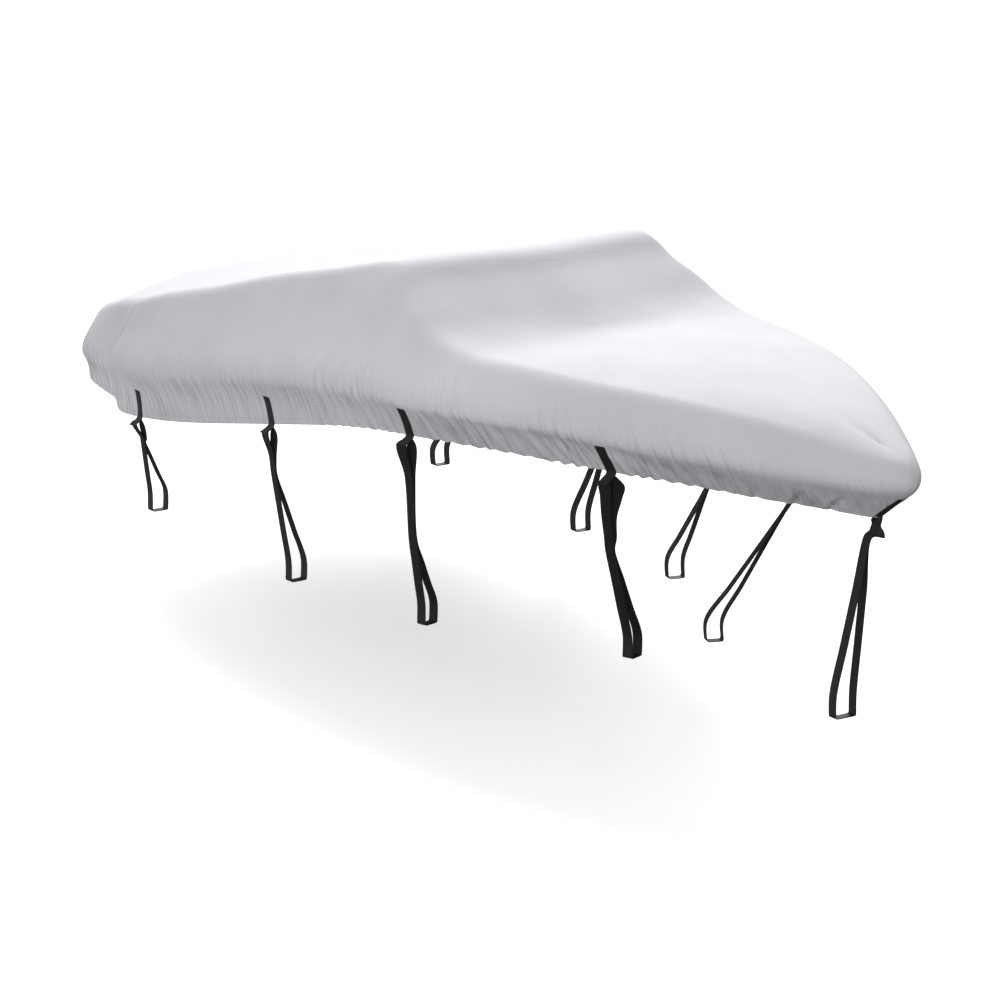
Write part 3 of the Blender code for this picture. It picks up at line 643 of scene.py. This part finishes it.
# The runs of a loop below the hem: drop, the aft and fore edges of the outboard (front) and inboard
# (rear) run along the hem, and how far each stands out from the strap's line
loopColumns = ("drop", "frontAft", "frontFore", "frontOut", "rearAft", "rearFore", "rearOut")
loopRows = (
    (0.050, -0.075, -0.012, 0.0200, -0.030, 0.032, -0.0026),
)
deckLoopRows = (
    (0.065, -0.072, -0.006, 0.0060, -0.014, 0.060, -0.0026),
    (0.140, -0.076, -0.012, 0.0050, -0.024, 0.042, -0.0026),
    (0.250, -0.080, -0.022, 0.0035, -0.050, 0.004, -0.0022),
)
bowLoopRows = (
    (0.083, -0.044, 0.012, -0.0026, 0.014, 0.074, -0.0085),
)

# The folded lower end of a tab: drop below the hem, aft and fore edge, how far out, and turn
flapColumns = ("drop", "aft", "fore", "out", "turn")
flapRows = (
    (0.007, -0.028, 0.026, 0.0050, 0.0),
    (0.026, -0.046, 0.010, 0.0115, 0.0),
    (0.054, -0.080, -0.025, 0.0262, 0.0),
)
deckFlapRows = (
    (0.007, -0.028, 0.026, 0.0050, 0.0),
    (0.030, -0.046, 0.008, 0.0056, 0.0),
    (0.066, -0.078, -0.024, 0.0120, 0.0),
)
bowFlapRows = (
    (0.014, -0.026, 0.026, 0.0026, 45.0),
    (0.036, -0.032, 0.034, 0.0050, 0.0),
    (0.056, -0.040, 0.056, 0.0052, 0.0),
    (0.082, -0.046, 0.072, 0.0100, 0.0),
)


def named(columns, rows):
    return [dict(zip(columns, row)) for row in rows]


def hemAt(side, x):
    hem = points[:, len(cover["hemHeights"]) + len(cover["hemAngles"])]
    chosen = hem[hem[:, 1] * side >= 0]
    chosen = chosen[np.argsort(chosen[:, 0])]
    after = np.searchsorted(chosen[:, 0], x)
    near = chosen[max(0, after - webbing["hemColumns"]):after + webbing["hemColumns"]]
    slope = np.polyfit(near[:, 0], near[:, 1], 1)
    level = np.polyfit(near[:, 0], near[:, 2], 1)
    heading = Vector((1.0, slope[0], 0.0)).normalized()
    return Vector((x, np.polyval(slope, x), np.polyval(level, x))), heading


def strapPlace(row, side, top, heading):
    turn = math.radians(row["barTurn"])
    alongBar = Vector((math.cos(turn), -side * math.sin(turn), 0.0))
    return {
        "top": top,
        "along": heading,
        "out": side * Vector((-heading.y, heading.x, 0.0)),
        "bar": Vector((row["barX"], side * row["barY"], row["barZ"])),
        "alongBar": alongBar,
        "outBar": side * Vector((-alongBar.y, alongBar.x, 0.0)),
        "halfBar": row["barWidth"] / 2,
        "meet": row["meet"],
        "part": row["part"],
        "shift": row["shift"],
        "lean": row["lean"],
    }


def roundCorner(before, at, after, softness, count):
    back, ahead = before - at, after - at
    reach = min(softness, cornerShare * back.length, cornerShare * ahead.length)
    start, end = at + back.normalized() * reach, at + ahead.normalized() * reach
    steps = [step / (count - 1) for step in range(count)]
    return [(1 - t) ** 2 * start + 2 * t * (1 - t) * at + t * t * end for t in steps]


def barCorner(place, end, level):
    clear = webbing["barSlack"] + webbing["thickness"] / 2
    point = place["bar"] + place["outBar"] * end * (place["halfBar"] + clear)
    point.z += webbing["barHeight"] * level - (0.0 if level else clear)
    return point


def runRows(place, end, rows, apexDrop):
    key = "front" if end > 0 else "rear"
    foot = barCorner(place, 1, 1)
    half = webbing["width"] / 2
    apex = place["top"] + place["along"] * webbing["apexFore"] - Vector((0.0, 0.0, apexDrop))
    apex += place["out"] * (webbing["apexOut"] + end * webbing["apexApart"])
    gathered = place["along"] * webbing["apexHalf"] * webbing["apexSlant"]
    gathered -= Vector((0.0, 0.0, end * webbing["apexHalf"]))
    found = [(apex - gathered, apex + gathered)]
    for row in named(loopColumns, rows):
        share = row["drop"] / (place["top"].z - foot.z)
        heading = place["along"].lerp(place["alongBar"], share).normalized()
        centre = place["top"].lerp(foot, share) + place["out"] * row[key + "Out"]
        found.append((centre + heading * row[key + "Aft"], centre + heading * row[key + "Fore"]))
    meet, part = place["meet"], place["part"]
    behind = place["out"] * (0.0 if end > 0 else -webbing["runSpacing"])
    if meet < part:
        heading = place["along"].lerp(place["alongBar"], meet).normalized()
        shift = place["shift"] + (0.0 if end > 0 else webbing["meetOffset"])
        centre = place["top"].lerp(foot, meet) + heading * shift + behind
        found.append((centre - heading * half, centre + heading * half))
    start = place["top"].lerp(foot, part) + place["along"] * place["shift"] + behind
    for step in range(webbing["runRows"]):
        t = step / webbing["runRows"]
        heading = place["along"].lerp(place["alongBar"], part + (1 - part) * t).normalized()
        centre = start.lerp(barCorner(place, end, 1), t)
        found.append((centre - heading * half, centre + heading * half))
    return found


def underBar(place):
    half = place["alongBar"] * webbing["width"] / 2
    corners = [barCorner(place, *which) for which in ((1, 1), (1, 0), (-1, 0), (-1, 1))]
    centres = [corners[0]]
    for k in (1, 2):
        centres += roundCorner(*corners[k - 1:k + 2], webbing["bend"], webbing["bendRows"])
    centres.append(corners[3])
    return [(centre - half, centre + half) for centre in centres]


def fineRows(rows, spacing):
    # Rows of the webbing's two edges, brought close together along smooth curves
    edges = np.array([[tuple(edge) for edge in row] for row in rows])
    gaps = gapsOf(edges.mean(axis=1))
    padded = np.concatenate((edges[:1] * 2 - edges[1:2], edges, edges[-1:] * 2 - edges[-2:-1]))
    knots = np.concatenate(([0.0], np.cumsum(gapsOf(padded.mean(axis=1)) ** 0.5)))
    found = []
    for k, gap in enumerate(gaps):
        p = padded[k:k + 4]
        t0, t1, t2, t3 = knots[k:k + 4]
        steps = max(1, round(gap / spacing))
        for step in range(steps):
            t = t1 + (t2 - t1) * step / steps
            a1 = (t1 - t) / (t1 - t0) * p[0] + (t - t0) / (t1 - t0) * p[1]
            a2 = (t2 - t) / (t2 - t1) * p[1] + (t - t1) / (t2 - t1) * p[2]
            a3 = (t3 - t) / (t3 - t2) * p[2] + (t - t2) / (t3 - t2) * p[3]
            b1 = (t2 - t) / (t2 - t0) * a1 + (t - t0) / (t2 - t0) * a2
            b2 = (t3 - t) / (t3 - t1) * a2 + (t - t1) / (t3 - t1) * a3
            found.append((t2 - t) / (t2 - t1) * b1 + (t - t1) / (t2 - t1) * b2)
    found.append(edges[-1])
    return np.array(found)


def webbingStrip(name, grid):
    # Webbing from rows of points across it, thickened by half to each side
    rows, columns = grid.shape[:2]
    index = np.arange(rows * columns).reshape(rows, columns)
    quads = np.stack((index[:-1, :-1], index[:-1, 1:], index[1:, 1:], index[1:, :-1]), axis=2)
    quads = quads.reshape(-1, 4)
    mesh = bpy.data.meshes.new(name)
    mesh.from_pydata(grid.reshape(-1, 3).tolist(), [], quads.tolist())
    length = np.concatenate(([0.0], np.cumsum(gapsOf(grid[:, columns // 2]))))
    width = np.linspace(-0.5, 0.5, columns) * webbing["width"]
    place = np.zeros((rows, columns, 3))
    place[:, :, 0] = width[None, :]
    place[:, :, 1] = length[:, None]
    place[:, :, 2] = length[-1]
    attribute = mesh.attributes.new("webPlace", "FLOAT_VECTOR", "POINT")
    attribute.data.foreach_set("vector", place.ravel())
    mesh.shade_smooth()
    item = addItem(name, mesh)
    solid = item.modifiers.new("thickness", "SOLIDIFY")
    solid.thickness = webbing["thickness"]
    solid.offset = 0.0
    return item, length[-1]


def acrossRows(edges):
    shares = np.linspace(0, 1, webbing["facesAcross"] + 1)[None, :, None]
    return edges[:, :1] * (1 - shares) + edges[:, 1:] * shares


def makeLoop(name, place, rows, apexDrop):
    front, rear = runRows(place, 1, rows, apexDrop), runRows(place, -1, rows, apexDrop)
    edges = fineRows(front + underBar(place) + rear[::-1], webbing["rowSpacing"])
    return webbingStrip(name, acrossRows(edges))


def makeTab(name, place, tree, across, facing, rows):
    rise = Vector((0.0, 0.0, webbing["tabLength"])) + place["along"] * place["lean"]
    half = across * webbing["width"] / 2
    steps = webbing["tabRows"]
    lift = webbing["tabGap"] + webbing["thickness"] / 2
    grid = []
    for step in range(steps, 0, -1):
        centre = place["top"] + rise * (step / steps)
        row = []
        for share in np.linspace(-1, 1, webbing["facesAcross"] + 1):
            point = centre + half * share
            hit = tree.ray_cast(point + facing * webbing["tabReach"], -facing)[0]
            row.append(tuple((hit if hit else point) + facing * lift))
        grid.append(row)
    sewn = np.array(grid)
    for _ in range(webbing["tabBridging"]):
        reach = sewn @ np.array(facing)
        smooth = reach.copy()
        smooth[1:-1] = np.maximum(reach[1:-1], (reach[:-2] + reach[2:]) / 2)
        smooth[:, 1:-1] = np.maximum(smooth[:, 1:-1], (smooth[:, :-2] + smooth[:, 2:]) / 2)
        sewn += (smooth - reach)[:, :, None] * np.array(facing)
    flap = [(tuple(row[0]), tuple(row[-1])) for row in sewn[-2:]]
    for row in named(flapColumns, rows):
        width = Matrix.Rotation(math.radians(row["turn"]), 3, "Z") @ place["along"]
        centre = place["top"] + place["out"] * row["out"] - Vector((0.0, 0.0, row["drop"]))
        flap.append((tuple(centre + width * row["aft"]), tuple(centre + width * row["fore"])))
    folded = acrossRows(fineRows(flap, webbing["rowSpacing"]))
    first = next(k for k, row in enumerate(folded) if np.allclose(row[0], sewn[-1][0]))
    return webbingStrip(name, np.concatenate((sewn[:-1], folded[first:])))


# Polypropylene webbing, woven narrow and dyed black: dull ribs along it, crossed by the weft
webbingLook = {
    "colour": "#161618",
    "highlight": "#232326",
    "toneStops": (0.25, 0.95),
    "roughness": 0.62,
    "ior": 1.49,
    "specular": 0.3,
    "ribSpacing": 0.0068,      # real ribs are 1.5 mm apart; drawn wider, so that they show
    "weftSpacing": 0.0060,
    "ribShare": 0.5,
    "ribHeight": 0.0008,
    "ribStrength": 0.6,
    "weaveTone": 0.16,         # how much the weave changes the colour
    "wearScale": 60.0,
}


def wovenWebbing():
    material, tree, shader = newMaterial("wovenWebbing")
    look = webbingLook
    place = addNode(tree, "Attribute", attribute_name="webPlace").outputs["Vector"]
    axes = addNode(tree, "SeparateXYZ", {"Vector": place}).outputs
    waves = []
    for axis, spacing in (("X", look["ribSpacing"]), ("Y", look["weftSpacing"])):
        angle = addNode(tree, "Math", {0: axes[axis], 1: math.tau / spacing}, operation="MULTIPLY")
        waves.append(addNode(tree, "Math", {0: angle}, operation="SINE"))
    crossed = addNode(tree, "Math", {0: waves[0], 1: waves[1]}, operation="MULTIPLY")
    ribs = addNode(tree, "Math", {0: waves[0], 1: look["ribShare"]}, operation="MULTIPLY")
    weave = addNode(tree, "Math", {0: crossed, 1: ribs}, operation="ADD")
    wear = addNode(tree, "TexNoise", {"Vector": place, "Scale": look["wearScale"], "Detail": 2.0})
    woven = addNode(tree, "Math", {0: weave, 1: look["weaveTone"]}, operation="MULTIPLY")
    tone = addNode(tree, "Math", {0: woven, 1: wear}, operation="ADD")
    tints = toLinear(look["colour"]), toLinear(look["highlight"])
    colour = addNode(tree, "ValToRGB", {"Fac": tone}, stops=zip(look["toneStops"], tints))
    bump = addNode(tree, "Bump", {
        "Height": weave, "Distance": look["ribHeight"], "Strength": look["ribStrength"]})
    finishShader(tree, shader, colour, bump, look)
    return material


def finishWebbing(made, node):
    item, length = made
    item.data.materials.append(webbingMaterial)
    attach(item, "root")
    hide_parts(node)
    return item


webbingMaterial = wovenWebbing()
clothTree = BVHTree.FromObject(coverCloth, bpy.context.evaluated_depsgraph_get())
for row in named(strapColumns, strapTable):
    for side, sideName in ((-1, "starboard"), (1, "port")):
        place = strapPlace(row, side, *hemAt(side, row["hemX"]))
        node = row["name"] + "_" + sideName
        name = row["name"] + sideName.capitalize()
        flap, runs = (deckFlapRows, deckLoopRows) if row["name"] == "deck" else (flapRows, loopRows)
        tab = makeTab(name + "Tab", place, clothTree, place["along"], place["out"], flap)
        tab = finishWebbing(tab, node + "_tab")
        loop = makeLoop(name + "Loop", place, runs, webbing["apexDrop"])
        finishWebbing(loop, node + "_loop")
row = named(strapColumns, [bowStrap])[0]
bowHem = Vector((row["hemX"], 0.0, sectionTable[-1][2]))
place = strapPlace(row, -1, bowHem, Vector((1.0, 0.0, 0.0)))
underside = Vector((0.628, 0.0, -0.778))  # way the cloth faces under the bow
tab = makeTab("bowTab", place, clothTree, Vector((0.0, 1.0, 0.0)), underside, bowFlapRows)
tab = finishWebbing(tab, "bow_tab")
loop = makeLoop("bowLoop", place, bowLoopRows, webbing["bowApexDrop"])
finishWebbing(loop, "bow_loop")
print("straps: nine tabs and nine loops")


# Floor, light and camera
stage = {
    "floorHeight": -1.98,
    "floorHalf": 400,
    "floorShade": "#F2F2F1",
    "floorColour": "#F4F4F3",
    "floorClouds": 0.4,        # scale of its faint clouds
    "floorStops": (0.3, 0.7),
    "floorRoughness": 0.9,
    "floorGlow": 0.42,         # keeps the floor's shadow faint, as on a lit studio sweep
    "sky": 0.59,               # light from all of the upper half
    "below": 0.14,             # light that comes back up from the floor
    "horizon": (0.49, 0.505),  # between these it changes from one to the other; the half is level
    "lights": (                # name, way to the light, strength, apparent size in degrees
        ("key", (-1.10, 0.72, 0.85), 3.3, 40),
        ("fill", (0.46, -0.88, -0.02), 1.55, 45),
        ("side", (-0.90, -0.60, 0.15), 0.75, 60),
        ("front", (0.95, -0.30, 0.00), 0.60, 50),
    ),
}


def paintedFloor():
    material, tree, shader = newMaterial("paintedFloor")
    place = addNode(tree, "TexCoord").outputs["Object"]
    cloud = addNode(tree, "TexNoise", {"Vector": place, "Scale": stage["floorClouds"], "Detail": 2.0})
    tints = toLinear(stage["floorShade"]), toLinear(stage["floorColour"])
    colour = addNode(tree, "ValToRGB", {"Fac": cloud}, stops=zip(stage["floorStops"], tints))
    setInputs(tree, shader, {
        "Base Color": colour, "Roughness": stage["floorRoughness"], "Emission Color": tints[1],
        "Emission Strength": stage["floorGlow"]})
    return material


floorMesh = bpy.data.meshes.new("floor")
half = stage["floorHalf"]
floorCorners = [(-half, -half, 0), (half, -half, 0), (half, half, 0), (-half, half, 0)]
floorMesh.from_pydata(floorCorners, [], [(0, 1, 2, 3)])
floorMesh.materials.append(paintedFloor())
floor = addItem("floor", floorMesh)
floor.location.z = stage["floorHeight"]
floor.visible_diffuse = False  # the world's lower half stands in for its light, much weaker
floor.visible_glossy = False

world = bpy.data.worlds.new("paleStudio")
bpy.context.scene.world = world
world.use_nodes = True
sky = world.node_tree
direction = addNode(sky, "TexCoord").outputs["Generated"]
height = addNode(sky, "SeparateXYZ", {"Vector": direction}).outputs["Z"]
raised = addNode(sky, "Math", {0: height, 1: 1.0}, operation="ADD")
upper = addNode(sky, "Math", {0: raised, 1: 0.5}, operation="MULTIPLY")
greys = [(grey, grey, grey, 1.0) for grey in (stage["below"], stage["sky"])]
shading = addNode(sky, "ValToRGB", {"Fac": upper}, stops=zip(stage["horizon"], greys))
setInputs(sky, sky.nodes["Background"], {"Color": shading})

for name, way, strength, softness in stage["lights"]:
    light = bpy.data.lights.new(name, "SUN")
    light.energy = strength
    light.angle = math.radians(softness)
    lightItem = addItem(name, light)
    lightItem.rotation_euler = Vector(way).to_track_quat("Z", "Y").to_euler()

view = {
    "azimuth": 56.3,
    "elevation": 14.6,
    "distance": 21.0,
    "pictureWidth": 1000,
    "focalPixels": 4200.0,     # focal length in the picture's pixels
    "target": (-0.20, 0.0, -0.97),
    "targetAt": (500.0, 430.0),    # where the target shows in the picture
    "sensorWidth": 36.0,
}
turn, tilt = math.radians(view["azimuth"]), math.radians(view["elevation"])
right = Vector((math.cos(turn), math.sin(turn), 0.0))
level = Vector((-math.sin(turn), math.cos(turn), 0.0))
forward = level * math.cos(tilt) - Vector((0.0, 0.0, math.sin(tilt)))
above = right.cross(forward)
sideways, downwards = ((at - view["pictureWidth"] / 2) / view["focalPixels"] for at in view["targetAt"])
camera = bpy.data.cameras.new("camera")
camera.sensor_width = view["sensorWidth"]
camera.lens = view["sensorWidth"] * view["focalPixels"] / view["pictureWidth"]
camera.clip_end = 1000.0
cameraItem = addItem("camera", camera)
cameraItem.matrix_world = Matrix((
    (right.x, above.x, -forward.x, 0.0), (right.y, above.y, -forward.y, 0.0),
    (right.z, above.z, -forward.z, 0.0), (0.0, 0.0, 0.0, 1.0)))
sight = forward + sideways * right - downwards * above
cameraItem.location = Vector(view["target"]) - view["distance"] * sight
bpy.context.scene.camera = cameraItem
bpy.context.scene.view_settings.view_transform = "Standard"
print("floor, light and camera")
